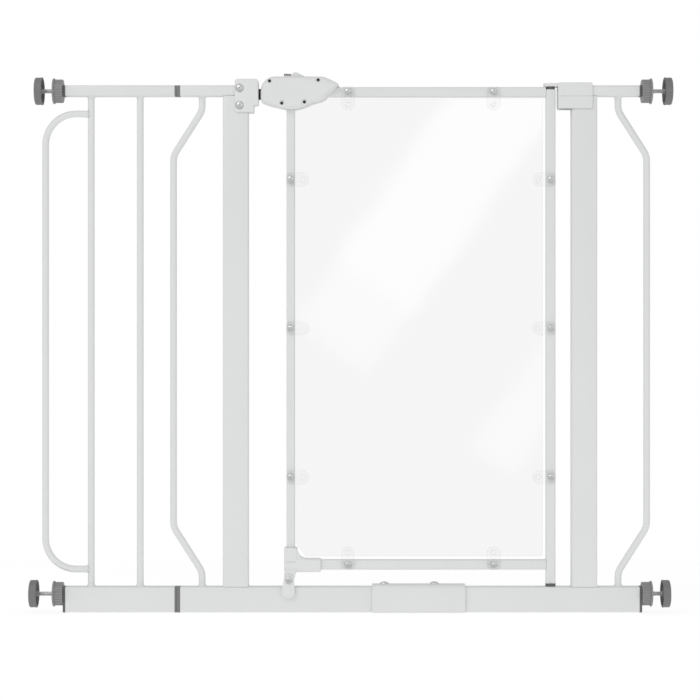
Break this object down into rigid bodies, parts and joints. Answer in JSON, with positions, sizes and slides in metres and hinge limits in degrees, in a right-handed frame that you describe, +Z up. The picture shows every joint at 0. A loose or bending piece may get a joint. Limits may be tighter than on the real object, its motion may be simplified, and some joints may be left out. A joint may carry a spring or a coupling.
{
  "type": "pet gate",
  "caption": "Pressure-mounted pet gate with a clear hinged door panel, a thumb latch, a side extension and screw-out wall pads.",
  "frame": {"origin": "floor level, in the middle of the gate's width and depth", "axes": "+X to the hinge side, +Y away from the front, +Z up; the gate is seen from -Y"},
  "size_m": [0.8984, 0.039, 0.7549],
  "materials": {
    "powder_coat": "satin",
    "white_plastic": "satin",
    "dark_plastic": "matte",
    "black_plastic": "matte",
    "grey_plastic": "matte",
    "grey_rubber": "matte",
    "zinc_steel": "satin",
    "clear_acrylic": "polished",
    "clear_plastic": "satin"
  },
  "bodies": {
    "frame": {"base_rail_left": "powder_coat", "base_rail_right": "powder_coat", "base_coupler": "powder_coat", "coupler_screws": "zinc_steel", "latch_post": "powder_coat", "hinge_post": "powder_coat", "latch_side_top_arm": "powder_coat", "hinge_side_top_arm": "powder_coat", "latch_side_bowed_bar": "powder_coat", "hinge_side_bowed_bar": "powder_coat", "extension_top_tube": "powder_coat", "extension_base_tube": "powder_coat", "extension_outer_bar": "powder_coat", "extension_inner_bar": "powder_coat", "extension_d_bar": "powder_coat", "top_joiner": "dark_plastic", "base_joiner": "dark_plastic", "upper_left_cap": "dark_plastic", "lower_left_cap": "dark_plastic", "upper_right_cap": "dark_plastic", "lower_right_cap": "dark_plastic", "keeper": "white_plastic", "keeper_screws": "zinc_steel", "hinge_bracket": "powder_coat", "upper_hinge_pin": "zinc_steel", "lower_hinge_pin": "zinc_steel", "lower_hinge_washer": "dark_plastic"},
    "door": {"latch_stile": "powder_coat", "hinge_stile": "powder_coat", "door_top_rail": "powder_coat", "door_bottom_rail": "powder_coat", "upper_hinge_bush": "dark_plastic", "lower_hinge_bush": "dark_plastic", "clear_panel": "clear_acrylic", "panel_clips": "clear_plastic", "clip_screws": "zinc_steel", "corner_elbow": "white_plastic", "stop_screw": "zinc_steel", "handle_front_shell": "white_plastic", "handle_rear_shell": "white_plastic", "handle_screws": "black_plastic", "latch_spring": "zinc_steel"},
    "latch_slider": {"latch_tongue": "black_plastic", "thumb_slide": "white_plastic", "thumb_grip": "grey_rubber"},
    "swing_stop": {"swing_stop": "white_plastic"},
    "upper_left_wheel": {"upper_left_wheel": "grey_plastic"},
    "upper_left_spindle": {"upper_left_rod": "zinc_steel", "upper_left_pad": "grey_rubber"},
    "lower_left_wheel": {"lower_left_wheel": "grey_plastic"},
    "lower_left_spindle": {"lower_left_rod": "zinc_steel", "lower_left_pad": "grey_rubber"},
    "upper_right_wheel": {"upper_right_wheel": "grey_plastic"},
    "upper_right_spindle": {"upper_right_rod": "zinc_steel", "upper_right_pad": "grey_rubber"},
    "lower_right_wheel": {"lower_right_wheel": "grey_plastic"},
    "lower_right_spindle": {"lower_right_rod": "zinc_steel", "lower_right_pad": "grey_rubber"}
  },
  "joints": [
    {"name": "door_swing", "type": "hinge", "parent": "frame", "child": "door", "pos_m": [0.2796, 0, 0.38], "axis": [0, 0, 1], "range_deg": [0, 90]},
    {"name": "latch_slide", "type": "slide", "parent": "door", "child": "latch_slider", "axis": [1, 0, 0], "range_m": [-0.006, 0.0035], "stiffness_N_per_m": 300, "springref_m": -0.006, "deforming": ["latch_spring"]},
    {"name": "swing_stop_turn", "type": "hinge", "parent": "door", "child": "swing_stop", "pos_m": [-0.0863, -0.013, 0.046], "axis": [0, 1, 0], "range_deg": [0, 180]},
    {"name": "upper_left_wheel_turn", "type": "hinge", "parent": "frame", "child": "upper_left_wheel", "pos_m": [-0.4086, 0, 0.729], "axis": [1, 0, 0], "range_deg": [-3243, 5763]},
    {"name": "upper_left_spindle_travel", "type": "slide", "parent": "frame", "child": "upper_left_spindle", "axis": [-1, 0, 0], "range_m": [-0.01143, 0.02032]},
    {"name": "lower_left_wheel_turn", "type": "hinge", "parent": "frame", "child": "lower_left_wheel", "pos_m": [-0.4086, 0, 0.0255], "axis": [1, 0, 0], "range_deg": [-3243, 5763]},
    {"name": "lower_left_spindle_travel", "type": "slide", "parent": "frame", "child": "lower_left_spindle", "axis": [-1, 0, 0], "range_m": [-0.01143, 0.02032]},
    {"name": "upper_right_wheel_turn", "type": "hinge", "parent": "frame", "child": "upper_right_wheel", "pos_m": [0.4132, 0, 0.729], "axis": [-1, 0, 0], "range_deg": [-3243, 5763]},
    {"name": "upper_right_spindle_travel", "type": "slide", "parent": "frame", "child": "upper_right_spindle", "axis": [1, 0, 0], "range_m": [-0.01143, 0.02032]},
    {"name": "lower_right_wheel_turn", "type": "hinge", "parent": "frame", "child": "lower_right_wheel", "pos_m": [0.4132, 0, 0.0255], "axis": [-1, 0, 0], "range_deg": [-3243, 5763]},
    {"name": "lower_right_spindle_travel", "type": "slide", "parent": "frame", "child": "lower_right_spindle", "axis": [1, 0, 0], "range_m": [-0.01143, 0.02032]}
  ],
  "couplings": [
    {"joint": "upper_left_wheel_turn", "follows": "upper_left_spindle_travel", "rad_per_m": 4947.4},
    {"joint": "lower_left_wheel_turn", "follows": "lower_left_spindle_travel", "rad_per_m": 4947.4},
    {"joint": "upper_right_wheel_turn", "follows": "upper_right_spindle_travel", "rad_per_m": 4947.4},
    {"joint": "lower_right_wheel_turn", "follows": "lower_right_spindle_travel", "rad_per_m": 4947.4}
  ]
}
